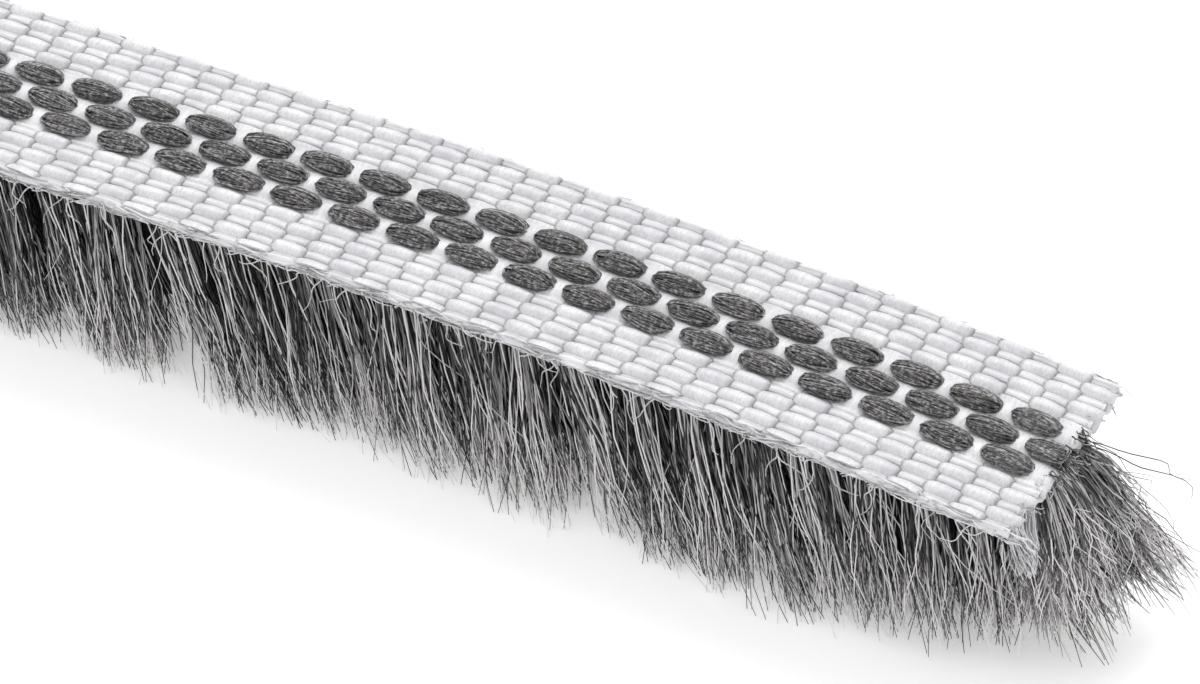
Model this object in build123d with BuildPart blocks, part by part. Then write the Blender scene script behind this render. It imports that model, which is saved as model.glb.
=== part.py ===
from build123d import *
from math import cos, degrees, radians, sin, tan
import os

os.makedirs("parts", exist_ok=True)

# A pile seal strip in mm, lying on its pile with the woven back up: X along the strip, Z up.
# The origin is at the pile tips, under the centre line, halfway along the strip.

# The stock
strip_length = 1000.0
overall_height = 7.0

# The last stretch keeps a gentle sideways bend
bend_length = 28.0
bend_radius = 243.0

# Woven backing tape
tape_width = 7.5
tape_thickness = 0.55

# Yarn loops on the back: three rows, the middle one half a pitch off the others
loop_pitch = 2.0
loop_gap = 0.38
loop_rise = 0.25
loop_slope = 0.46
last_loop = 1.3
row_spacing = 0.94
row_gap = 0.06

# Cut pile under the tape, flared to both sides and leaning towards the bent end
tip_width = 7.0
pile_lean = 26.0
tip_rounding = 0.5
side_bulge = 0.25

tape_top = overall_height - loop_rise
tape_underside = tape_top - tape_thickness
straight_length = strip_length - bend_length
bend_angle = degrees(bend_length / bend_radius)
loop_length = loop_pitch - loop_gap
loop_width = row_spacing - row_gap
root_width = 3 * row_spacing
pile_overhang = tape_underside * tan(radians(pile_lean))


def on_strip(along, across, height):
    # A place measured along the centre line from the straight end, turned with the bend
    turn = max(0.0, along - straight_length) / bend_radius
    x = min(along, straight_length) - strip_length / 2 + bend_radius * sin(turn)
    y = -bend_radius * (1 - cos(turn))
    return Location((x, y, 0), (0, 0, -degrees(turn))) * Location((0, across, height))


def loop_places(across, from_end):
    # Loop centres, counted back from the bent end's cut as far as a whole loop still fits
    count = int((strip_length - from_end - loop_length / 2) // loop_pitch) + 1
    return [on_strip(strip_length - from_end - i * loop_pitch, across, tape_top) for i in range(count)]


def square_cut(along):
    return Plane(on_strip(along, 0, 0) * Location((0, 0, 0), (0, 90, 0)))


def pile_face(along):
    # The pile ends in a leaning face that starts at the tape's square cut
    return Plane(on_strip(along, 0, tape_underside) * Location((0, 0, 0), (0, 90 - pile_lean, 0)))


def outer_row_outline(side):
    # Section of an outer pile row: side is 1 for the far row and -1 for the near row
    root_outer = (side * root_width / 2, tape_underside)
    tip_outer = (side * tip_width / 2, tip_rounding)
    flare_across = (root_width + tip_width) / 4 + side_bulge
    flare = (side * flare_across, (tape_underside + tip_rounding) / 2)
    root_inner = (side * root_width / 6, tape_underside)
    tip_inner = (side * tip_width / 6, 0)
    Line(root_inner, root_outer)
    ThreePointArc(root_outer, flare, tip_outer)
    Polyline(tip_outer, (side * (tip_width / 2 - tip_rounding), 0), tip_inner, root_inner)


with BuildLine() as tape_route:
    straight = Line(on_strip(0, 0, 0).position, on_strip(straight_length, 0, 0).position)
    JernArc(start=straight @ 1, tangent=straight % 1, radius=bend_radius, arc_size=-bend_angle)

# The pile's route runs on past the tape, for the overhang of its leaning face
with BuildLine() as pile_route:
    add(tape_route.line)
    tape_end = tape_route.line @ 1
    Line(tape_end, tape_end + (tape_route.line % 1) * 2 * pile_overhang)

# The tape's edges are rolled selvedges, round in section
with BuildPart() as backing_tape:
    with BuildSketch(Plane.YZ):
        with Locations((0, tape_underside + tape_thickness / 2)):
            SlotOverall(tape_width, tape_thickness)
    sweep(path=tape_route.wire())

# One loop is a low cushion with a crest along it and a slope at each end
with BuildPart() as loop:
    with BuildSketch(Plane.XZ):
        with BuildLine():
            Polyline(
                (-loop_length / 2, 0),
                (loop_length / 2, 0),
                (loop_length / 2 - loop_slope, loop_rise),
                (loop_slope - loop_length / 2, loop_rise),
                close=True,
            )
        make_face()
    extrude(amount=loop_width / 2, both=True)
    with BuildSketch(Plane.YZ):
        with BuildLine():
            Polyline((-loop_width / 2, 0), (loop_width / 2, 0), (0, loop_rise), close=True)
        make_face()
    extrude(amount=loop_length / 2, both=True, mode=Mode.INTERSECT)

with BuildPart() as loops_far:
    with Locations(*loop_places(row_spacing, last_loop)):
        add(loop.part)

# The tape's cut goes through the last loop of the staggered middle row
with BuildPart() as loops_middle:
    with Locations(*loop_places(0, last_loop - loop_pitch / 2)):
        add(loop.part)
    split(bisect_by=square_cut(strip_length), keep=Keep.BOTTOM)

with BuildPart() as loops_near:
    with Locations(*loop_places(-row_spacing, last_loop)):
        add(loop.part)

with BuildPart() as pile_far:
    with BuildSketch(Plane.YZ):
        with BuildLine():
            outer_row_outline(1)
        make_face()
    sweep(path=pile_route.wire())
    split(bisect_by=pile_face(0), keep=Keep.TOP)
    split(bisect_by=pile_face(strip_length), keep=Keep.BOTTOM)

with BuildPart() as pile_middle:
    with BuildSketch(Plane.YZ):
        with BuildLine():
            Polyline(
                (-root_width / 6, tape_underside),
                (root_width / 6, tape_underside),
                (tip_width / 6, 0),
                (-tip_width / 6, 0),
                close=True,
            )
        make_face()
    sweep(path=pile_route.wire())
    split(bisect_by=pile_face(0), keep=Keep.TOP)
    split(bisect_by=pile_face(strip_length), keep=Keep.BOTTOM)

with BuildPart() as pile_near:
    with BuildSketch(Plane.YZ):
        with BuildLine():
            outer_row_outline(-1)
        make_face()
    sweep(path=pile_route.wire())
    split(bisect_by=pile_face(0), keep=Keep.TOP)
    split(bisect_by=pile_face(strip_length), keep=Keep.BOTTOM)

backing_tape.part.label = "backing_tape"
export_step(backing_tape.part, "parts/backing_tape.step")
loops_far.part.label = "loops_far"
export_step(loops_far.part, "parts/loops_far.step")
loops_middle.part.label = "loops_middle"
export_step(loops_middle.part, "parts/loops_middle.step")
loops_near.part.label = "loops_near"
export_step(loops_near.part, "parts/loops_near.step")
pile_far.part.label = "pile_far"
export_step(pile_far.part, "parts/pile_far.step")
pile_middle.part.label = "pile_middle"
export_step(pile_middle.part, "parts/pile_middle.step")
pile_near.part.label = "pile_near"
export_step(pile_near.part, "parts/pile_near.step")
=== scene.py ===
import math
import bpy
import numpy as np
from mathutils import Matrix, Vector


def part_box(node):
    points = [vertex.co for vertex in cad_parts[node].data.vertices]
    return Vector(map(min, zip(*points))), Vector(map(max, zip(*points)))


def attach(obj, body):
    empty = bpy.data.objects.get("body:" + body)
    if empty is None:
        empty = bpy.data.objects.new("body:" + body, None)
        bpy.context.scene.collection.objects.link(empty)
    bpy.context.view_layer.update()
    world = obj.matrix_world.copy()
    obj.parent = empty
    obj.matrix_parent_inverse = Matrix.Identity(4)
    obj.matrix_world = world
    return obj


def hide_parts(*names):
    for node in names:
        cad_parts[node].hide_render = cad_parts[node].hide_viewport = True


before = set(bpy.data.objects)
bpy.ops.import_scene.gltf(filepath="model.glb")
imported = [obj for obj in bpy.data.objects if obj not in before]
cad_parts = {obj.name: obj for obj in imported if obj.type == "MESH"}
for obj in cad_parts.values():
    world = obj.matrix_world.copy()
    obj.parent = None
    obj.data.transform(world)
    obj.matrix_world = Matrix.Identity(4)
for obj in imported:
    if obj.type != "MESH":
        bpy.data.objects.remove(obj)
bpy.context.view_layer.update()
scene = bpy.context.scene

# Every piece is made in strip space, in mm: X along the centre line, Y across, Z up.
# layOnStrip then follows the bend of the last stretch and turns mm into metres.
tapeLow, tapeHigh = (corner * 1000 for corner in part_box("backing_tape"))
strip = {
    "end": 500.0,
    "bendLength": 28.0,
    "bendRadius": 243.0,
    "under": tapeLow.z,
    "top": tapeHigh.z,
    "middle": (tapeLow.z + tapeHigh.z) / 2,
    "halfWidth": tapeHigh.y,
    "loopPitch": 2.0,
    "lastLoop": 498.7,
    "rowSpacing": 0.94,
    "firstWarp": 1.74,
    "warpSpacing": 0.45,
    "pickPhase": 0.4,  # picks lie this far short of whole millimetres
    "cutSkew": 0.08,
    "cutStretch": 10.0,  # the skew fades out over this length
    "splayStretch": 9.0,  # the pile splays over this length before the cut
    "fineTufts": 21,
    "longTufts": 480,
    "longLoops": 478,
}
fineLength = strip["fineTufts"] * strip["loopPitch"]
fineStart = strip["end"] - fineLength


def addNode(tree, kind, *values, output=0, named=None, **settings):
    # One node with its settings, and its inputs linked or set, by place or by name
    node = tree.nodes.new(kind)
    for key, value in settings.items():
        setattr(node, key, value)
    for key, value in [*enumerate(values), *(named or {}).items()]:
        if isinstance(value, bpy.types.NodeSocket):
            tree.links.new(value, node.inputs[key])
        elif value is not None:
            node.inputs[key].default_value = value
    return node.outputs[output]


def linear(hexColour):
    # sRGB hex to the linear values that a shader takes
    parts = [int(hexColour[i:i + 2], 16) / 255 for i in (1, 3, 5)]
    return [p / 12.92 if p <= 0.04045 else ((p + 0.055) / 1.055) ** 2.4 for p in parts] + [1.0]


def layOnStrip(mesh):
    coords = np.empty(len(mesh.vertices) * 3, np.float32)
    mesh.vertices.foreach_get("co", coords)
    along, across, up = coords.reshape(-1, 3).astype(np.float64).T
    # The cut runs a little askew, so the near corner reaches farther than the far one
    cutStart = strip["end"] - strip["cutStretch"]
    along = along - strip["cutSkew"] * across * np.clip((along - cutStart) / strip["cutStretch"], 0.0, 1.0)
    straightEnd = strip["end"] - strip["bendLength"]
    turn = np.maximum(0.0, along - straightEnd) / strip["bendRadius"]
    radius = strip["bendRadius"] + across
    x = np.minimum(along, straightEnd) + radius * np.sin(turn)
    y = radius * np.cos(turn) - strip["bendRadius"]
    mesh.vertices.foreach_set("co", np.stack([x, y, up], 1).astype(np.float32).ravel() * 0.001)
    mesh.update()


def finishPiece(piece, slotName, *nodes):
    layOnStrip(piece.data)
    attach(piece, "root")
    if nodes:
        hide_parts(*nodes)
    triangles = sum(len(face.vertices) - 2 for face in piece.data.polygons)
    print(piece.name, triangles, "triangles")


def startTree(name, sizes):
    # A tree with one named input for each size
    tree = bpy.data.node_groups.new(name, "GeometryNodeTree")
    tree.interface.new_socket("Geometry", in_out="OUTPUT", socket_type="NodeSocketGeometry")
    for label, value in sizes.items():
        kind = "NodeSocketInt" if isinstance(value, int) else "NodeSocketFloat"
        tree.interface.new_socket(label, in_out="INPUT", socket_type=kind)
    inputs = tree.nodes.new("NodeGroupInput").outputs
    return tree, {label: inputs[label] for label in sizes}


def startStrands(tree, size):
    # Strands of equal point count; every point knows its strand's number and its share of the way along
    line = addNode(tree, "GeometryNodeCurvePrimitiveLine", (0, 0, 0), (0, 0, 1))
    pointCount = addNode(tree, "ShaderNodeMath", size["segments"], 1.0, operation="ADD")
    strand = addNode(tree, "GeometryNodeResampleCurve", line, None, pointCount, mode="COUNT")
    places = addNode(tree, "GeometryNodePoints", size["count"])
    copies = addNode(tree, "GeometryNodeInstanceOnPoints", places, None, strand)
    strands = addNode(tree, "GeometryNodeRealizeInstances", copies)
    index = addNode(tree, "GeometryNodeInputIndex")
    number = addNode(tree, "ShaderNodeMath", index, pointCount, operation="DIVIDE")
    number = addNode(tree, "ShaderNodeMath", number, operation="FLOOR")
    step = addNode(tree, "ShaderNodeMath", index, pointCount, operation="FLOORED_MODULO")
    along = addNode(tree, "ShaderNodeMath", step, size["segments"], operation="DIVIDE")
    return strands, number, along


def endStrands(tree, curves, position, profile, scale, tone, along, material):
    # Strands become closed tubes that carry two values for their material
    moved = addNode(tree, "GeometryNodeSetPosition", curves, None, position)
    toned = addNode(tree, "GeometryNodeStoreNamedAttribute", moved, None, "tone", tone)
    marked = addNode(tree, "GeometryNodeStoreNamedAttribute", toned, None, "along", along)
    tubes = addNode(tree, "GeometryNodeCurveToMesh", marked, profile, scale, True)
    smooth = addNode(tree, "GeometryNodeSetShadeSmooth", tubes)
    endTree(tree, smooth, material)


def endTree(tree, geometry, material):
    real = addNode(tree, "GeometryNodeRealizeInstances", geometry)
    finished = addNode(tree, "GeometryNodeSetMaterial", real, None, material)
    tree.links.new(finished, tree.nodes.new("NodeGroupOutput").inputs[0])


def makePiece(name, tree, sizes, slotName, *nodes):
    # The tree's result as a plain mesh in the frame
    piece = bpy.data.objects.new(name, bpy.data.meshes.new(name + "Start"))
    scene.collection.objects.link(piece)
    modifier = piece.modifiers.new(name, "NODES")
    modifier.node_group = tree
    for item in tree.interface.items_tree:
        if item.in_out == "INPUT":
            modifier[item.identifier] = sizes[item.name]
    depsgraph = bpy.context.evaluated_depsgraph_get()
    mesh = bpy.data.meshes.new_from_object(
        piece.evaluated_get(depsgraph), preserve_all_data_layers=True, depsgraph=depsgraph)
    piece.modifiers.clear()
    piece.data = mesh
    mesh.name = name
    finishPiece(piece, slotName, *nodes)


def makeRings(name, outlines, material, slotName):
    # A closed form through outlines of equal point count
    sides = len(outlines[0])
    faces = [tuple(reversed(range(sides)))]
    for ring in range(len(outlines) - 1):
        for i in range(sides):
            here = ring * sides + i
            beside = ring * sides + (i + 1) % sides
            faces.append((here, beside, beside + sides, here + sides))
    faces.append(tuple(range((len(outlines) - 1) * sides, len(outlines) * sides)))
    mesh = bpy.data.meshes.new(name)
    mesh.from_pydata([point for outline in outlines for point in outline], [], faces)
    mesh.polygons.foreach_set("use_smooth", [True] * len(faces))
    mesh.materials.append(material)
    piece = bpy.data.objects.new(name, mesh)
    scene.collection.objects.link(piece)
    finishPiece(piece, slotName)


# Materials

def startMaterial(name, roughness):
    # Polypropylene's refraction, with the roughness of its finish
    material = bpy.data.materials.new(name)
    material.use_nodes = True
    surface = material.node_tree.nodes["Principled BSDF"]
    surface.inputs["Roughness"].default_value = roughness
    surface.inputs["IOR"].default_value = 1.49
    return material, material.node_tree, surface


def addRamp(tree, value, stops):
    ramp = addNode(tree, "ShaderNodeValToRGB", value)
    elements = ramp.node.color_ramp.elements
    while len(elements) < len(stops):
        elements.new(0.5)
    for element, (position, hexColour) in zip(elements, stops):
        element.position = position
        element.color = linear(hexColour)
    return ramp


def whiteYarnMaterial(name, filamentRun):
    # White polypropylene yarn, flat woven: soft gloss, a little light passes through, filaments of 0.06 mm
    material, tree, surface = startMaterial(name, 0.34)
    place = addNode(tree, "ShaderNodeTexCoord", output="Object")
    perMetre = [1500.0 if axis == filamentRun else 16000.0 for axis in "XYZ"]
    filaments = addNode(tree, "ShaderNodeMapping", place, named={"Scale": perMetre})
    fine = addNode(tree, "ShaderNodeTexNoise", filaments, None, 1.0, 2.0, 0.6)
    cloudy = addNode(tree, "ShaderNodeTexNoise", place, None, 1100.0, 2.0, 0.5)
    mixed = addNode(tree, "ShaderNodeMath", fine, cloudy, operation="MULTIPLY")
    colour = addRamp(tree, mixed, [(0.12, "#c6c6ca"), (0.4, "#e6e6e8")])
    bump = addNode(tree, "ShaderNodeBump", named={"Height": fine, "Strength": 0.3, "Distance": 0.00003})
    tree.links.new(colour, surface.inputs["Base Color"])
    tree.links.new(bump, surface.inputs["Normal"])
    surface.inputs["Subsurface Weight"].default_value = 0.7
    surface.inputs["Subsurface Radius"].default_value = (1.0, 1.0, 1.0)
    surface.inputs["Subsurface Scale"].default_value = 0.0003
    return material


def pileFilamentMaterial():
    # Grey dyed polypropylene filament, cut: satin glints, each strand its own grey, with painted light:
    # palest at the tips, painted shade at the roots under the tape
    material, tree, surface = startMaterial("greyPolypropyleneFilament", 0.34)
    tone = addNode(tree, "ShaderNodeAttribute", attribute_name="tone", output="Fac")
    along = addNode(tree, "ShaderNodeAttribute", attribute_name="along", output="Fac")
    # Painted light and shade: strands are coloured paler towards their tips and darker at the roots, where
    # shade falls under the tape
    paintedTipLight = addNode(tree, "ShaderNodeMath", along, 2.5, operation="POWER")
    shade = addNode(tree, "ShaderNodeMath", paintedTipLight, 0.6, tone, operation="MULTIPLY_ADD")
    colour = addRamp(tree, shade, [(0.0, "#0f0f0f"), (0.5, "#737171"), (1.0, "#eeecec")])
    tree.links.new(colour, surface.inputs["Base Color"])
    return material


def pileDepthMaterial(name, darkHex, paleHex):
    # Packed filaments in the pile's depth, shown only as matt streaks 0.1 mm wide leaning as the pile does;
    # the dark end of each ramp is painted shade between and behind the strands
    material, tree, surface = startMaterial(name, 0.75)
    place = addNode(tree, "ShaderNodeTexCoord", output="Object")
    streaks = addNode(tree, "ShaderNodeMapping", place, vector_type="TEXTURE",
                      named={"Rotation": (0.0, -0.43, 0.0), "Scale": (0.0001, 0.0001, 0.006)})
    fine = addNode(tree, "ShaderNodeTexNoise", streaks, None, 1.0, 3.0, 0.6)
    # Painted shade: the dark streaks stand for the shade between the strands
    colour = addRamp(tree, fine, [(0.35, darkHex), (0.75, paleHex)])
    bump = addNode(tree, "ShaderNodeBump", named={"Height": fine, "Strength": 0.8, "Distance": 0.0001})
    tree.links.new(colour, surface.inputs["Base Color"])
    tree.links.new(bump, surface.inputs["Normal"])
    return material


def whiteWeaveMaterial():
    # The white yarns woven, where they aren't modelled singly: soft pale cells, with painted shade where
    # yarns dive under. A cell is one pick long and one warp wide, and single filaments are too fine to draw.
    material, tree, surface = startMaterial("whitePolypropyleneWeave", 0.4)
    place = addNode(tree, "ShaderNodeTexCoord", output="Object")
    parts = addNode(tree, "ShaderNodeSeparateXYZ", place).node.outputs
    picks = addNode(tree, "ShaderNodeMath", parts[0], 1000.0, strip["pickPhase"], operation="MULTIPLY_ADD")
    picks = addNode(tree, "ShaderNodeMath", picks, math.pi, operation="MULTIPLY")
    picks = addNode(tree, "ShaderNodeMath", picks, operation="COSINE")
    warps = addNode(tree, "ShaderNodeMath", parts[1], operation="ABSOLUTE")
    warps = addNode(tree, "ShaderNodeMath", warps, 1000.0, -strip["firstWarp"], operation="MULTIPLY_ADD")
    warps = addNode(tree, "ShaderNodeMath", warps, math.pi / strip["warpSpacing"], operation="MULTIPLY")
    warps = addNode(tree, "ShaderNodeMath", warps, operation="COSINE")
    cells = addNode(tree, "ShaderNodeMath", picks, warps, operation="MULTIPLY")
    cells = addNode(tree, "ShaderNodeMath", cells, operation="ABSOLUTE")
    cells = addNode(tree, "ShaderNodeMath", cells, 0.5, operation="POWER")
    fine = addNode(tree, "ShaderNodeTexNoise", place, None, 5000.0, 3.0, 0.6)
    shade = addNode(tree, "ShaderNodeMath", fine, 0.5, cells, operation="MULTIPLY_ADD")
    # Painted shade: the cell borders, where yarns dive under, are coloured darker grey
    colour = addRamp(tree, shade, [(0.3, "#8f8f94"), (0.7, "#d2d2d6"), (1.0, "#e8e8ea")])
    bump = addNode(tree, "ShaderNodeBump", named={"Height": shade, "Strength": 0.8, "Distance": 0.0001})
    tree.links.new(colour, surface.inputs["Base Color"])
    tree.links.new(bump, surface.inputs["Normal"])
    return material


def loopYarnMaterial():
    # The same grey yarn drawn tight over the weft, coloured darker than the cut pile, with painted glints:
    # thin pale flecks on single filaments
    material, tree, surface = startMaterial("greyPolypropyleneLoopYarn", 0.42)
    tone = addNode(tree, "ShaderNodeAttribute", attribute_name="tone", output="Fac")
    place = addNode(tree, "ShaderNodeTexCoord", output="Object")
    fine = addNode(tree, "ShaderNodeTexNoise", place, None, 9000.0, 3.0, 0.6)
    shade = addNode(tree, "ShaderNodeMath", fine, 1.3, tone, operation="MULTIPLY_ADD")
    # Painted glints: fine noise lifts single filaments to pale grey
    colour = addRamp(tree, shade, [(0.45, "#343233"), (0.75, "#656363"), (1.0, "#bab8b8")])
    bump = addNode(tree, "ShaderNodeBump", named={"Height": fine, "Strength": 0.7, "Distance": 0.00005})
    tree.links.new(colour, surface.inputs["Base Color"])
    tree.links.new(bump, surface.inputs["Normal"])
    return material


warpYarn = whiteYarnMaterial("whitePolypropyleneWarp", "X")
weftYarn = whiteYarnMaterial("whitePolypropyleneWeft", "Y")
pileFilament = pileFilamentMaterial()
weave = whiteWeaveMaterial()
# The core is near-black to dark grey, painted shade where the pile's inside lies in shade; the outer form is
# grey streaks with painted shade between them
pileShadeCore = pileDepthMaterial("pileCorePaintedShade", "#0b0b0b", "#333232")
outerPile = pileDepthMaterial("outerPileFilamentAndShade", "#111010", "#aaa8a8")
loopYarn = loopYarnMaterial()
print("materials made")


# Strands in tufts: the cut pile, and with other sizes every stray hair and frayed end

def strandTree(name, material, sizes):
    tree, size = startTree(name, sizes)
    strands, number, along = startStrands(tree, size)
    tuft = addNode(tree, "ShaderNodeMath", number, size["perTuft"], operation="DIVIDE")
    tuft = addNode(tree, "ShaderNodeMath", tuft, operation="FLOOR")
    chances = []
    draws = [(-1, 1, number), (-1, 1, number), (0, 6.28, number), (-1, 1, tuft)]
    for step, (low, high, owner) in enumerate(draws):
        seed = addNode(tree, "ShaderNodeMath", size["seed"], 101.0 * step, operation="ADD")
        chances.append(addNode(tree, "FunctionNodeRandomValue", (low, low, low), (high, high, high),
                               named={"ID": owner, "Seed": seed}, data_type="FLOAT_VECTOR"))
    rooted, strayed, phases, tufted = chances

    # Roots spread round the place where their tuft leaves the tape
    tuftPlace = addNode(tree, "ShaderNodeMath", tuft, size["pitch"], operation="MULTIPLY")
    tuftPlace = addNode(tree, "ShaderNodeMath", size["last"], tuftPlace, operation="SUBTRACT")
    tuftPlace = addNode(tree, "ShaderNodeCombineXYZ", tuftPlace, size["row"], size["rootHeight"])
    spread = addNode(tree, "ShaderNodeCombineXYZ", size["rootAlong"], size["rootAcross"], size["rootRise"])
    root = addNode(tree, "ShaderNodeVectorMath", rooted, spread, tuftPlace, operation="MULTIPLY_ADD")
    rootParts = addNode(tree, "ShaderNodeSeparateXYZ", root).node.outputs
    rootedParts = addNode(tree, "ShaderNodeSeparateXYZ", rooted).node.outputs

    # Tips: the mean lean and flare, then what the stretch, the tuft and the single strand add
    swing = addNode(tree, "ShaderNodeTexNoise", None, rootParts[0], size["swingRate"], 2.0, 0.6,
                    output="Color", noise_dimensions="1D")
    swing = addNode(tree, "ShaderNodeVectorMath", swing, (0.5, 0.5, 0.5), operation="SUBTRACT")
    swingReach = addNode(tree, "ShaderNodeCombineXYZ", size["swing"], size["swingAcross"], 0.0)
    splayStart = strip["end"] - strip["splayStretch"]
    splay = addNode(tree, "ShaderNodeMapRange", rootParts[0], splayStart, strip["end"], 0.0, 1.0)
    lean = addNode(tree, "ShaderNodeMath", splay, size["endLean"], size["lean"], operation="MULTIPLY_ADD")
    lean = addNode(tree, "ShaderNodeMath", rootedParts[1], size["fanLean"], lean, operation="MULTIPLY_ADD")
    flare = addNode(tree, "ShaderNodeMath", splay, size["endFlare"], size["flare"],
                    operation="MULTIPLY_ADD")
    flare = addNode(tree, "ShaderNodeMath", rootedParts[1], size["fan"], flare, operation="MULTIPLY_ADD")
    ragged = addNode(tree, "ShaderNodeMath", rootedParts[2], 2.0, operation="POWER")
    tipHeight = addNode(tree, "ShaderNodeMath", ragged, size["ragged"], size["tipHeight"],
                        operation="MULTIPLY_ADD")
    tipHeight = addNode(tree, "ShaderNodeMath", splay, size["endRise"], tipHeight, operation="MULTIPLY_ADD")
    drop = addNode(tree, "ShaderNodeMath", tipHeight, rootParts[2], operation="SUBTRACT")
    shift = addNode(tree, "ShaderNodeCombineXYZ", lean, flare, 0.0)
    shift = addNode(tree, "ShaderNodeVectorMath", swing, swingReach, shift, operation="MULTIPLY_ADD")
    tuftReach = addNode(tree, "ShaderNodeCombineXYZ", size["tuftLean"], size["tuftFlare"], 0.0)
    shift = addNode(tree, "ShaderNodeVectorMath", tufted, tuftReach, shift, operation="MULTIPLY_ADD")
    strayReach = addNode(tree, "ShaderNodeCombineXYZ", size["strayLean"], size["strayFlare"], 0.0)
    shift = addNode(tree, "ShaderNodeVectorMath", strayed, strayReach, shift, operation="MULTIPLY_ADD")

    # From root to tip, with a bow, and a curl that grows on the way
    bowed = addNode(tree, "ShaderNodeMath", along, size["bow"], operation="POWER")
    dropped = addNode(tree, "ShaderNodeMath", along, drop, operation="MULTIPLY")
    dropped = addNode(tree, "ShaderNodeCombineXYZ", 0.0, 0.0, dropped)
    position = addNode(tree, "ShaderNodeVectorMath", root, dropped, operation="ADD")
    bowVector = addNode(tree, "ShaderNodeCombineXYZ", bowed, bowed, bowed)
    position = addNode(tree, "ShaderNodeVectorMath", shift, bowVector, position, operation="MULTIPLY_ADD")
    turned = addNode(tree, "ShaderNodeMath", along, size["waves"], operation="MULTIPLY")
    turned = addNode(tree, "ShaderNodeVectorMath", phases, turned, operation="ADD")
    curled = addNode(tree, "ShaderNodeVectorMath", turned, operation="SINE")
    curl = addNode(tree, "ShaderNodeMath", along, size["curl"], operation="MULTIPLY")
    curlVector = addNode(tree, "ShaderNodeCombineXYZ", curl, curl, 0.0)
    position = addNode(tree, "ShaderNodeVectorMath", curled, curlVector, position, operation="MULTIPLY_ADD")
    # The floor stops every strand; the other two limits are far away
    lowest = addNode(tree, "ShaderNodeCombineXYZ", -1000.0, -1000.0, size["radius"])
    position = addNode(tree, "ShaderNodeVectorMath", position, lowest, operation="MAXIMUM")

    # Thickness, and a grey for each strand: a random grey, then painted shade by its place (inner strands
    # darker), and painted light and shade by its tuft and its stretch for the clumps and hollows where the
    # pile parts
    profile = addNode(tree, "GeometryNodeCurvePrimitiveCircle", 3, named={"Radius": 1.0})
    taper = addNode(tree, "ShaderNodeMapRange", along, 0.4, 1.0, 1.0, 0.5)
    scale = addNode(tree, "ShaderNodeMath", taper, size["radius"], operation="MULTIPLY")
    toneParts = addNode(tree, "ShaderNodeSeparateXYZ", strayed).node.outputs
    tone = addNode(tree, "ShaderNodeMapRange", toneParts[2], -1.0, 1.0, size["darkest"], size["palest"])
    # Painted shade: strands deeper in the row are coloured darker
    tone = addNode(tree, "ShaderNodeMath", rootedParts[1], size["innerShade"], tone,
                   operation="MULTIPLY_ADD")
    clump = addNode(tree, "ShaderNodeSeparateXYZ", tufted, output=2)
    tone = addNode(tree, "ShaderNodeMath", clump, size["clumpShade"], tone, operation="MULTIPLY_ADD")
    stretch = addNode(tree, "ShaderNodeSeparateXYZ", swing, output=2)
    tone = addNode(tree, "ShaderNodeMath", stretch, size["stretchShade"], tone, operation="MULTIPLY_ADD")
    endStrands(tree, strands, position, profile, scale, tone, along, material)
    return tree


# The near row; the other rows and stretches change only what differs
pile = {
    "count": strip["fineTufts"] * 188,
    "segments": 8,
    "seed": 3,
    "perTuft": 188,
    "pitch": strip["loopPitch"],
    "last": strip["lastLoop"] - 0.8,
    "row": -strip["rowSpacing"],
    "rootHeight": strip["under"] + 0.05,
    "rootAlong": 0.75,
    "rootAcross": 0.42,
    "rootRise": 0.0,
    "tipHeight": 0.0,
    "ragged": 0.8,
    "endRise": 1.4,
    "lean": 2.9,
    "strayLean": 0.5,
    "tuftLean": 0.7,
    "endLean": -1.8,
    "flare": -1.65,
    "endFlare": 1.2,
    "fan": 0.65,
    "fanLean": 0.0,
    "strayFlare": 0.3,
    "tuftFlare": 0.25,
    "swing": 2.8,
    "swingAcross": 0.7,
    "swingRate": 0.22,
    "bow": 1.15,
    "waves": 9.0,
    "curl": 0.26,
    "radius": 0.028,
    "darkest": -0.85,
    "palest": 1.0,
    "innerShade": -0.3,
    "clumpShade": 0.12,
    "stretchShade": 1.0,
}
tufts = strandTree("pileTufts", pileFilament, pile)
makePiece("pileNearFine", tufts, pile, "pile_yarn", "pile_near")
farPile = {**pile, "count": strip["fineTufts"] * 140, "perTuft": 140, "segments": 4, "seed": 5,
           "last": strip["lastLoop"] + 0.3, "row": strip["rowSpacing"], "flare": 1.4, "endFlare": 0.0,
           "endLean": 0.0, "darkest": -0.5, "innerShade": 0.3}
makePiece("pileFarFine", tufts, farPile, "pile_yarn", "pile_far")
# The middle row lies deep inside the pile, so its greys are made darker: painted shade
middlePile = {**pile, "count": strip["fineTufts"] * 90, "perTuft": 90, "segments": 4, "seed": 7,
              "last": strip["lastLoop"] - 0.4, "row": 0.0, "flare": 0.0, "fan": 1.6, "endFlare": 0.0,
              "endLean": 0.0, "darkest": -0.6, "palest": 0.4, "innerShade": 0.0}
makePiece("pileMiddleFine", tufts, middlePile, "pile_yarn", "pile_middle")

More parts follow.
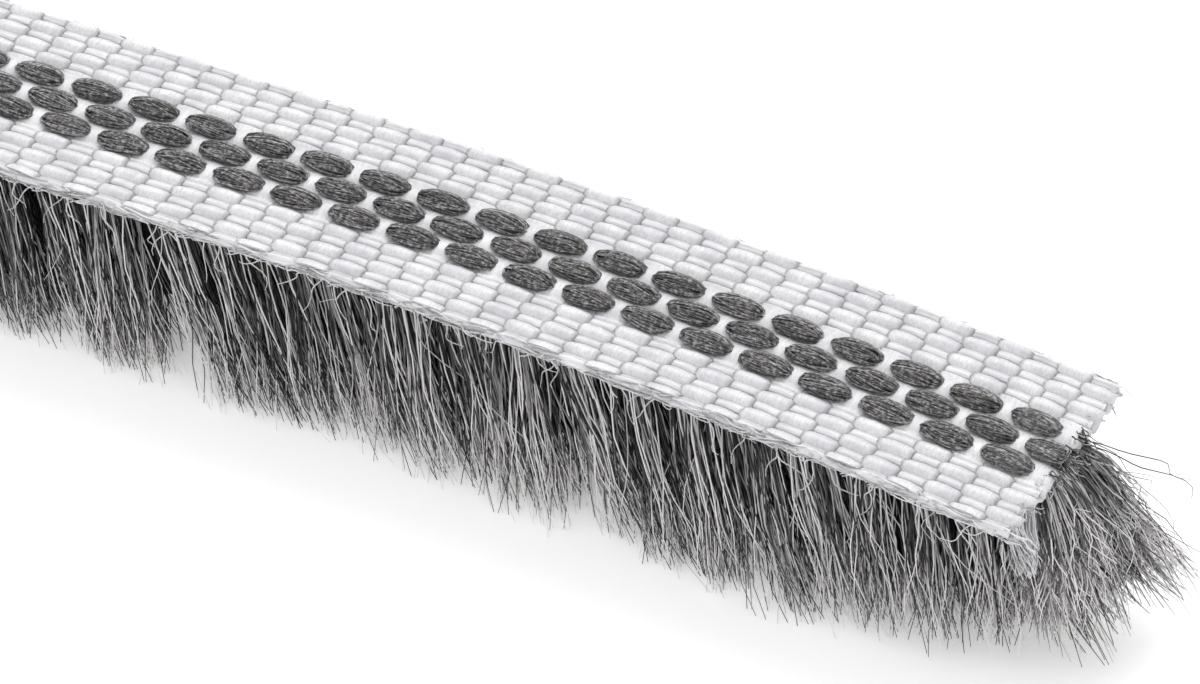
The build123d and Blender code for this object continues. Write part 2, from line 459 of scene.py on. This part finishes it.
# The fan at each end of the strip is one wide tuft
endPile = {**pile, "count": 2000, "perTuft": 2000, "seed": 9, "last": strip["end"] - 0.8, "row": 0.1,
           "rootAlong": 0.7, "rootAcross": 1.15, "tipHeight": 0.3, "ragged": 2.4, "flare": 0.2,
           "endFlare": 0.0, "fan": 1.1, "lean": 1.9, "endLean": 0.0, "fanLean": 0.5, "strayLean": 0.7,
           "swing": 0.0, "bow": 0.7, "darkest": -0.2, "innerShade": 0.0, "stretchShade": 0.0}
makePiece("pileEnd", tufts, endPile, "pile_yarn")
startPile = {**endPile, "count": 600, "perTuft": 600, "segments": 4, "seed": 19,
             "last": 0.7 - strip["end"], "row": 0.0, "rootAcross": 1.3, "tipHeight": 0.1, "ragged": 0.8,
             "flare": 0.0, "fan": 1.9, "lean": 2.6, "fanLean": 0.0, "strayLean": 0.4, "bow": 1.15,
             "radius": 0.05}
makePiece("pileStart", tufts, startPile, "pile_yarn")

# Past the photo's edge: fewer and thicker strands
longPile = {**pile, "count": strip["longTufts"] * 15, "perTuft": 15, "segments": 2, "seed": 11,
            "last": fineStart + 0.6, "radius": 0.075, "curl": 0.1}
makePiece("pileNearLong", tufts, longPile, "pile_yarn")
farLongPile = {**longPile, "seed": 13, "row": strip["rowSpacing"], "flare": 1.4}
makePiece("pileFarLong", tufts, farLongPile, "pile_yarn")

# Stray hairs, thinner and more curled than the rest
hairs = {**pile, "count": 90, "perTuft": 3, "pitch": 1.2, "segments": 10, "seed": 15, "strayLean": 2.6,
         "strayFlare": 0.9, "ragged": 3.0, "curl": 0.45, "waves": 7.0, "radius": 0.02, "darkest": 0.5}
makePiece("pileHairs", tufts, hairs, "pile_yarn")
endHairs = {**endPile, "count": 50, "perTuft": 50, "segments": 10, "seed": 17, "strayLean": 1.1, "lean": 2.4,
            "row": 0.7, "rootAcross": 0.7, "tipHeight": 0.4, "ragged": 4.6, "bow": 0.6, "curl": 0.3,
            "radius": 0.022, "darkest": 0.1}
makePiece("pileEndHairs", tufts, endHairs, "pile_yarn")
print("pile made")


# The pile's packed inside: one closed grooved form that leans as the pile does, coloured with painted shade

def pileDepthOutline(along, size, rng):
    # A section from root to tip on one side, and back up on the other
    right = []
    for share in np.linspace(0.0, 1.0, size["levels"]):
        chance = rng.uniform(size["narrowest"], 1.0)
        half = (size["rootHalf"] + (size["tipHalf"] - size["rootHalf"]) * share) * chance
        height = size["top"] + (size["bottom"] - size["top"]) * share
        height = height + size["ragged"] * share * (1.0 - chance)
        right.append((along + size["lean"] * share, half, height))
    return right + [(x, -half, height) for x, half, height in reversed(right)]


def makePileDepth(name, size, material):
    rng = np.random.default_rng(size["seed"])
    places = np.arange(size["end"], size["start"], -size["step"])[::-1]
    makeRings(name, [pileDepthOutline(place, size, rng) for place in places], material, "pile_yarn")


depth = {
    "start": fineStart,
    "end": strip["end"] - 4.6,
    "step": 0.25,
    "levels": 5,
    "narrowest": 0.82,
    "rootHalf": 0.9,
    "tipHalf": 1.7,
    "top": strip["under"] + 0.1,
    "bottom": 1.7,
    "lean": 2.1,
    "ragged": 0.0,
    "seed": 21,
}
makePileDepth("pileDepthFine", depth, pileShadeCore)
longDepth = {**depth, "start": 0.5 - strip["end"], "end": fineStart + 0.2, "step": 1.0, "rootHalf": 1.35,
             "tipHalf": 3.1, "bottom": 0.2, "lean": 2.7, "ragged": 3.0}
makePileDepth("pileDepthLong", longDepth, outerPile)


# Tape: flat warp yarns in both flanges and double wefts across, over a thin ground

def yarnProfile(tree, size):
    circle = addNode(tree, "GeometryNodeCurvePrimitiveCircle", size["sides"], named={"Radius": 1.0})
    flat = addNode(tree, "ShaderNodeCombineXYZ", size["halfWide"], size["halfThick"], 1.0)
    return addNode(tree, "GeometryNodeTransform", circle, named={"Scale": flat})


def warpTree(material, sizes):
    # Yarns side by side in both flanges, up and down in turn from pick to pick
    tree, size = startTree("tapeWarps", sizes)
    strands, number, along = startStrands(tree, size)
    place = addNode(tree, "ShaderNodeMath", number, size["perSide"], operation="FLOORED_MODULO")
    side = addNode(tree, "ShaderNodeMath", number, size["perSide"], operation="LESS_THAN")
    side = addNode(tree, "ShaderNodeMath", side, 2.0, -1.0, operation="MULTIPLY_ADD")
    x = addNode(tree, "ShaderNodeMapRange", along, 0.0, 1.0, size["start"], size["end"])
    out = addNode(tree, "ShaderNodeMath", place, size["spacing"], size["first"], operation="MULTIPLY_ADD")
    drift = addNode(tree, "ShaderNodeTexNoise", None, x, size["driftRate"], 1.0, noise_dimensions="1D")
    halfDrift = addNode(tree, "ShaderNodeMath", size["drift"], -0.5, operation="MULTIPLY")
    drift = addNode(tree, "ShaderNodeMath", drift, size["drift"], halfDrift, operation="MULTIPLY_ADD")
    y = addNode(tree, "ShaderNodeMath", out, side, drift, operation="MULTIPLY_ADD")
    turn = addNode(tree, "ShaderNodeMath", x, size["phase"], operation="SUBTRACT")
    turn = addNode(tree, "ShaderNodeMath", turn, place, operation="ADD")
    turn = addNode(tree, "ShaderNodeMath", turn, math.pi, operation="MULTIPLY")
    crimp = addNode(tree, "ShaderNodeMath", turn, operation="COSINE")
    z = addNode(tree, "ShaderNodeMath", crimp, size["crimp"], size["height"], operation="MULTIPLY_ADD")
    position = addNode(tree, "ShaderNodeCombineXYZ", x, y, z)
    swell = addNode(tree, "ShaderNodeMapRange", crimp, -1.0, 1.0, 0.85, 1.05)
    upright = addNode(tree, "GeometryNodeSetCurveNormal", strands, mode="Z_UP")
    endStrands(tree, upright, position, yarnProfile(tree, size), swell, along, along, material)
    return tree


warp = {
    "count": 10,
    "perSide": 5,
    "segments": int(fineLength * 5),
    "start": fineStart,
    "end": strip["end"] + 0.1,
    "first": strip["firstWarp"],
    "spacing": strip["warpSpacing"],
    "drift": 0.14,
    "driftRate": 0.5,
    "phase": strip["lastLoop"] - 1.0,
    "crimp": 0.03,
    "height": strip["middle"] + 0.06,
    "halfWide": 0.17,
    "halfThick": 0.07,
    "sides": 8,
}
warps = warpTree(warpYarn, warp)
makePiece("tapeWarpFine", warps, warp, "woven_tape", "backing_tape")
selvedgeYarn = {**warp, "count": 2, "perSide": 1, "first": strip["halfWidth"] - 0.15,
                "height": strip["middle"] + 0.01, "halfWide": 0.15, "halfThick": 0.15}
makePiece("selvedgeYarnFine", warps, selvedgeYarn, "woven_tape")


def weftTree(material, sizes):
    # Flat picks across the whole tape, over and under the warps and between the pile's loops
    tree, size = startTree("tapeWefts", sizes)
    strands, number, along = startStrands(tree, size)
    y = addNode(tree, "ShaderNodeMath", along, 2.0, -1.0, operation="MULTIPLY_ADD")
    y = addNode(tree, "ShaderNodeMath", y, size["reach"], operation="MULTIPLY")
    drift = addNode(tree, "ShaderNodeMath", number, size["driftStep"], y, operation="MULTIPLY_ADD")
    drift = addNode(tree, "ShaderNodeTexNoise", None, drift, size["driftRate"], 1.0, noise_dimensions="1D")
    x = addNode(tree, "ShaderNodeMath", number, -1.0, size["last"], operation="MULTIPLY_ADD")
    x = addNode(tree, "ShaderNodeMath", drift, size["drift"], x, operation="MULTIPLY_ADD")
    away = addNode(tree, "ShaderNodeMath", y, operation="ABSOLUTE")
    inPile = addNode(tree, "ShaderNodeMath", away, size["pileHalf"], operation="LESS_THAN")
    overRows = addNode(tree, "ShaderNodeMath", away, strip["rowSpacing"], operation="DIVIDE")
    overWarps = addNode(tree, "ShaderNodeMath", away, strip["firstWarp"], operation="SUBTRACT")
    overWarps = addNode(tree, "ShaderNodeMath", overWarps, strip["warpSpacing"], operation="DIVIDE")
    crossing = addNode(tree, "ShaderNodeMix", inPile, None, overWarps, overRows)
    turn = addNode(tree, "ShaderNodeMath", crossing, number, operation="ADD")
    turn = addNode(tree, "ShaderNodeMath", turn, math.pi, operation="MULTIPLY")
    crimp = addNode(tree, "ShaderNodeMath", turn, operation="COSINE")
    depthHere = addNode(tree, "ShaderNodeMix", inPile, None, size["crimp"], size["pileCrimp"])
    level = addNode(tree, "ShaderNodeMath", inPile, size["pileDrop"], size["height"],
                    operation="MULTIPLY_ADD")
    z = addNode(tree, "ShaderNodeMath", crimp, depthHere, level, operation="MULTIPLY_ADD")
    position = addNode(tree, "ShaderNodeCombineXYZ", x, y, z)
    upright = addNode(tree, "GeometryNodeSetCurveNormal", strands, mode="Z_UP")
    endStrands(tree, upright, position, yarnProfile(tree, size), 1.0, along, along, material)
    return tree


weft = {
    "count": int(fineLength),
    "segments": 68,
    "last": strip["lastLoop"] + 0.9,
    "drift": 0.1,
    "driftStep": 7.3,
    "driftRate": 0.8,
    "pileHalf": 1.4,
    "reach": strip["halfWidth"] - 0.13,
    "crimp": -0.12,
    "pileCrimp": -0.12,
    "pileDrop": -0.03,
    "height": strip["middle"] + 0.03,
    "halfWide": 0.6,
    "halfThick": 0.1,
    "sides": 8,
}
makePiece("tapeWeftFine", weftTree(weftYarn, weft), weft, "woven_tape")


def tapeGroundOutline(along, size):
    middle = (size["low"] + size["high"]) / 2
    rise = (size["high"] - size["low"]) / 2
    turns = np.linspace(0.0, 2.0 * math.pi, size["sides"], endpoint=False)
    return [(along, size["half"] * math.cos(turn), middle + rise * math.sin(turn)) for turn in turns]


ground = {
    "places": 24,
    "sides": 16,
    "half": strip["halfWidth"] - 0.1,
    "low": strip["under"] + 0.02,
    "high": strip["middle"] + 0.08,
}
groundPlaces = np.linspace(fineStart - 0.2, strip["end"] - 0.15, ground["places"])
groundOutlines = [tapeGroundOutline(place, ground) for place in groundPlaces]
makeRings("tapeGround", groundOutlines, weftYarn, "woven_tape")


def tapeWeaveOutline(along, pick, size):
    # Crests and hollows of a plain weave, in turn from warp to warp and from pick to pick
    right = []
    for i in range(size["warpsOut"] - 1, -size["warpsIn"] - 1, -1):
        height = size["height"] + size["relief"] * (-1) ** (i + pick)
        right.append((strip["firstWarp"] + strip["warpSpacing"] * i, height))
    left = [(-y, z) for y, z in reversed(right)]
    under = [(-size["underHalf"], size["low"]), (size["underHalf"], size["low"])]
    outline = [(size["half"], strip["middle"]), *right, *left, (-size["half"], strip["middle"]), *under]
    return [(along, y, z) for y, z in outline]


# The tape past the photo's edge, with one outline a pick
longWeave = {
    "firstPick": 1.0 - strip["pickPhase"] - strip["end"],
    "warpsOut": 5,
    "warpsIn": 3,
    "height": strip["top"] - 0.16,
    "relief": 0.06,
    "half": strip["halfWidth"] - 0.02,
    "underHalf": strip["halfWidth"] - 0.22,
    "low": strip["under"] + 0.02,
}
weavePlaces = [-strip["end"], *np.arange(longWeave["firstPick"], fineStart, 1.0), fineStart + 0.1]
weaveOutlines = [tapeWeaveOutline(place, pick, longWeave) for pick, place in enumerate(weavePlaces)]
makeRings("tapeWeaveLong", weaveOutlines, weave, "woven_tape")

# Loose white filaments: along the selvedges, off the cut, and one frayed tip that hangs at the near corner
whiteHairs = strandTree("whiteHairs", warpYarn, pile)
selvedge = {**pile, "count": int(fineLength) * 13, "perTuft": 13, "pitch": 1.0, "seed": 41,
            "last": strip["end"] - 0.5, "row": -strip["halfWidth"] + 0.08, "rootHeight": strip["middle"],
            "rootAlong": 0.6, "rootAcross": 0.08, "rootRise": 0.2, "tipHeight": strip["middle"] - 0.12,
            "ragged": 0.25, "endRise": 0.0, "lean": 0.0, "strayLean": 1.9, "tuftLean": 0.3, "endLean": 0.0,
            "flare": -0.03, "endFlare": 0.0, "fan": 0.0, "strayFlare": 0.14, "tuftFlare": 0.05,
            "swing": 0.0, "swingAcross": 0.0, "bow": 1.0, "curl": 0.1, "waves": 7.0, "radius": 0.032,
            "innerShade": 0.0}
makePiece("selvedgeNear", whiteHairs, selvedge, "woven_tape")
farSelvedge = {**selvedge, "count": int(fineLength) * 6, "perTuft": 6, "seed": 43,
               "row": strip["halfWidth"] - 0.08, "flare": 0.0, "strayFlare": 0.08}
makePiece("selvedgeFar", whiteHairs, farSelvedge, "woven_tape")
dangling = {**selvedge, "count": 64, "perTuft": 2, "pitch": 1.3, "seed": 45, "tipHeight": 5.3, "ragged": 1.0,
            "strayLean": 1.1, "flare": -0.2, "strayFlare": 0.2, "curl": 0.2, "waves": 6.0, "radius": 0.026}
makePiece("selvedgeDangling", whiteHairs, dangling, "woven_tape")
cutEnd = {**selvedge, "count": 170, "perTuft": 170, "segments": 5, "seed": 47, "last": strip["end"] - 0.05,
          "row": 0.0, "rootAlong": 0.12, "rootAcross": strip["halfWidth"] - 0.15, "tipHeight": 6.1,
          "ragged": 0.5, "lean": 0.15, "strayLean": 0.25, "flare": 0.0, "strayFlare": 0.3, "radius": 0.028}
makePiece("cutEndFray", whiteHairs, cutEnd, "woven_tape")
cornerTip = {**cutEnd, "segments": 6, "seed": 49, "last": strip["end"] + 0.05,
             "row": 0.85 - strip["halfWidth"], "rootAlong": 0.15, "rootAcross": 0.7, "rootRise": 0.14,
             "tipHeight": 4.9, "ragged": 1.2, "lean": 0.3, "strayLean": 0.14, "flare": -0.25, "fan": -0.55,
             "strayFlare": 0.06, "curl": 0.06, "radius": 0.038}
makePiece("cornerTip", whiteHairs, cornerTip, "woven_tape")
cutLoops = {**cutEnd, "count": 70, "perTuft": 70, "seed": 51, "row": 0.1, "rootAcross": 1.25,
            "rootRise": 0.1, "rootHeight": strip["top"] - 0.1, "tipHeight": 6.3, "lean": 0.3,
            "radius": 0.024, "darkest": -0.2, "palest": 0.4}
makePiece("cutLoopFray", tufts, cutLoops, "pile_yarn")
print("tape made")


# Loops: filaments run like meridians over a low oval bed, from end to end

def loopPlace(tree, size, loop):
    # Three rows, the middle one first and half a pitch nearer the cut
    inRow = addNode(tree, "ShaderNodeMath", loop, 3.0, operation="DIVIDE")
    inRow = addNode(tree, "ShaderNodeMath", inRow, operation="FLOOR")
    row = addNode(tree, "ShaderNodeMath", loop, 1.0, operation="ADD")
    row = addNode(tree, "ShaderNodeMath", row, 3.0, operation="FLOORED_MODULO")
    row = addNode(tree, "ShaderNodeMath", row, 1.0, operation="SUBTRACT")
    outer = addNode(tree, "ShaderNodeMath", row, operation="ABSOLUTE")
    back = addNode(tree, "ShaderNodeMath", inRow, 2.0, outer, operation="MULTIPLY_ADD")
    x = addNode(tree, "ShaderNodeMath", back, -strip["loopPitch"] / 2, size["last"],
                operation="MULTIPLY_ADD")
    y = addNode(tree, "ShaderNodeMath", row, size["rowSpacing"], size["aside"], operation="MULTIPLY_ADD")
    return addNode(tree, "ShaderNodeCombineXYZ", x, y, size["height"])


def loopFilamentTree(material, sizes):
    # Each filament arches over its loop at its own angle, slightly twisted, and stops at the tape's cut
    tree, size = startTree("loopFilaments", sizes)
    strands, number, along = startStrands(tree, size)
    loop = addNode(tree, "ShaderNodeMath", number, size["perLoop"], operation="DIVIDE")
    loop = addNode(tree, "ShaderNodeMath", loop, operation="FLOOR")
    inLoop = addNode(tree, "ShaderNodeMath", number, size["perLoop"], operation="FLOORED_MODULO")
    chance = addNode(tree, "FunctionNodeRandomValue", (-1, -1, -1), (1, 1, 1),
                     named={"ID": number, "Seed": size["seed"]}, data_type="FLOAT_VECTOR")
    chances = addNode(tree, "ShaderNodeSeparateXYZ", chance).node.outputs
    aside = addNode(tree, "ShaderNodeMath", inLoop, size["perLoop"], operation="DIVIDE")
    aside = addNode(tree, "ShaderNodeMapRange", aside, 0.0, 1.0, size["firstAngle"], size["lastAngle"])
    aside = addNode(tree, "ShaderNodeMath", chances[0], size["jitter"], aside, operation="MULTIPLY_ADD")
    twist = addNode(tree, "ShaderNodeMath", along, 0.5, operation="SUBTRACT")
    twist = addNode(tree, "ShaderNodeMath", twist, size["twist"], operation="MULTIPLY")
    aside = addNode(tree, "ShaderNodeMath", twist, chances[1], aside, operation="MULTIPLY_ADD")
    turn = addNode(tree, "ShaderNodeMath", along, math.pi, operation="MULTIPLY")
    swell = addNode(tree, "ShaderNodeMath", turn, operation="SINE")
    run = addNode(tree, "ShaderNodeMath", turn, operation="COSINE")
    reach = addNode(tree, "ShaderNodeMath", chances[0], size["jitter"], 1.0, operation="MULTIPLY_ADD")
    run = addNode(tree, "ShaderNodeMath", run, reach, operation="MULTIPLY")
    swell = addNode(tree, "ShaderNodeMath", swell, size["fullness"], operation="POWER")
    across = addNode(tree, "ShaderNodeMath", aside, operation="SINE")
    rise = addNode(tree, "ShaderNodeMath", aside, operation="COSINE")
    across = addNode(tree, "ShaderNodeMath", across, swell, operation="MULTIPLY")
    rise = addNode(tree, "ShaderNodeMath", rise, swell, operation="MULTIPLY")
    shape = addNode(tree, "ShaderNodeCombineXYZ", run, across, rise)
    halves = addNode(tree, "ShaderNodeCombineXYZ", size["halfLong"], size["halfWide"], size["rise"])
    position = addNode(tree, "ShaderNodeVectorMath", shape, halves, loopPlace(tree, size, loop),
                       operation="MULTIPLY_ADD")
    cut = addNode(tree, "ShaderNodeMath", chances[2], size["jitter"], size["cut"], operation="MULTIPLY_ADD")
    cut = addNode(tree, "ShaderNodeCombineXYZ", cut, 1000.0, 1000.0)
    position = addNode(tree, "ShaderNodeVectorMath", position, cut, operation="MINIMUM")
    profile = addNode(tree, "GeometryNodeCurvePrimitiveCircle", 3, named={"Radius": 1.0})
    tone = addNode(tree, "ShaderNodeMapRange", chances[2], -1.0, 1.0, 0.0, 0.25)
    endStrands(tree, strands, position, profile, size["radius"], tone, along, material)
    return tree


loops = {
    "count": strip["fineTufts"] * 3 * 24,
    "perLoop": 24,
    "segments": 7,
    "seed": 31,
    "last": strip["lastLoop"] + strip["loopPitch"] / 2,
    "rowSpacing": strip["rowSpacing"],
    "aside": -0.08,
    "height": strip["top"] - 0.1,
    "halfLong": 0.8,
    "halfWide": 0.44,
    "rise": 0.25,
    "firstAngle": -1.35,
    "lastAngle": 1.45,
    "jitter": 0.1,
    "fullness": 0.72,
    "twist": 1.5,
    "radius": 0.03,
    "cut": strip["end"] + 0.05,
}
makePiece("loopFilaments", loopFilamentTree(loopYarn, loops), loops, "pile_yarn",
          "loops_far", "loops_middle", "loops_near")


def loopBedTree(material, sizes):
    tree, size = startTree("loopBeds", sizes)
    index = addNode(tree, "GeometryNodeInputIndex")
    points = addNode(tree, "GeometryNodePoints", size["count"], loopPlace(tree, size, index))
    ball = addNode(tree, "GeometryNodeMeshUVSphere", 8, 4, 1.0)
    ball = addNode(tree, "GeometryNodeSetShadeSmooth", ball)
    halves = addNode(tree, "ShaderNodeCombineXYZ", size["halfLong"], size["halfWide"], size["rise"])
    beds = addNode(tree, "GeometryNodeInstanceOnPoints", points, None, ball, named={"Scale": halves})
    endTree(tree, beds, material)
    return tree


bed = {
    "count": strip["fineTufts"] * 3,
    "last": loops["last"] - strip["loopPitch"],
    "rowSpacing": strip["rowSpacing"],
    "aside": loops["aside"],
    "height": loops["height"],
    "halfLong": 0.78,
    "halfWide": 0.43,
    "rise": 0.245,
}
beds = loopBedTree(loopYarn, bed)
makePiece("loopBedsFine", beds, bed, "pile_yarn")
longBeds = {**bed, "count": strip["longLoops"] * 3 + 1, "last": loops["last"] - fineLength, "rise": 0.26,
            "halfLong": 0.85, "halfWide": 0.45}
makePiece("loopsLong", beds, longBeds, "pile_yarn")
print("loops made")


# Floor, light and camera

def makeStage(half):
    mesh = bpy.data.meshes.new("floor")
    corners = [(-half, -half, 0), (half, -half, 0), (half, half, 0), (-half, half, 0)]
    mesh.from_pydata(corners, [], [(0, 1, 2, 3)])
    floor = bpy.data.objects.new("floor", mesh)
    scene.collection.objects.link(floor)
    # A white matt table, a little lit from below, so the thin shadows round the pile stay pale
    material, tree, surface = startMaterial("whiteLitTable", 0.9)
    surface.inputs["Base Color"].default_value = linear("#f7f7f7")
    surface.inputs["Emission Color"].default_value = linear("#ffffff")
    surface.inputs["Emission Strength"].default_value = 0.32
    mesh.materials.append(material)


def addLight(name, place, target, width, watts):
    light = bpy.data.objects.new(name, bpy.data.lights.new(name, "AREA"))
    light.data.size = width
    light.data.energy = watts
    light.location = place
    light.rotation_euler = (Vector(target) - Vector(place)).to_track_quat("-Z", "Y").to_euler()
    scene.collection.objects.link(light)


studio = {
    "floorHalf": 6.0,
    "worldLight": 0.8,
    "frontPlace": (0.25, -0.6, 1.25),
    "frontWidth": 0.7,
    "frontWatts": 2.0,
    "backPlace": (0.1, 0.75, 1.0),
    "backWidth": 0.9,
    "backWatts": 9.0,
    "target": (0.485887, -0.003055, 0.00673),
    "azimuth": 26.7,
    "elevation": 39.5,
    "distance": 0.1889,
    "lens": 194.6,
}
makeStage(studio["floorHalf"])
world = bpy.data.worlds.new("studioWorld")
world.use_nodes = True
world.node_tree.nodes["Background"].inputs["Color"].default_value = linear("#ffffff")
world.node_tree.nodes["Background"].inputs["Strength"].default_value = studio["worldLight"]
scene.world = world
addLight("frontLight", studio["frontPlace"], studio["target"], studio["frontWidth"], studio["frontWatts"])
addLight("backLight", studio["backPlace"], studio["target"], studio["backWidth"], studio["backWatts"])

azimuth = math.radians(studio["azimuth"])
elevation = math.radians(studio["elevation"])
back = Vector((math.sin(azimuth) * math.cos(elevation), -math.cos(azimuth) * math.cos(elevation),
               math.sin(elevation)))
camera = bpy.data.objects.new("camera", bpy.data.cameras.new("camera"))
camera.data.lens = studio["lens"]
camera.data.clip_start = 0.01
camera.location = Vector(studio["target"]) + back * studio["distance"]
camera.rotation_euler = back.to_track_quat("Z", "Y").to_euler()
scene.collection.objects.link(camera)
scene.camera = camera
scene.view_settings.view_transform = "Standard"
print("stage made")
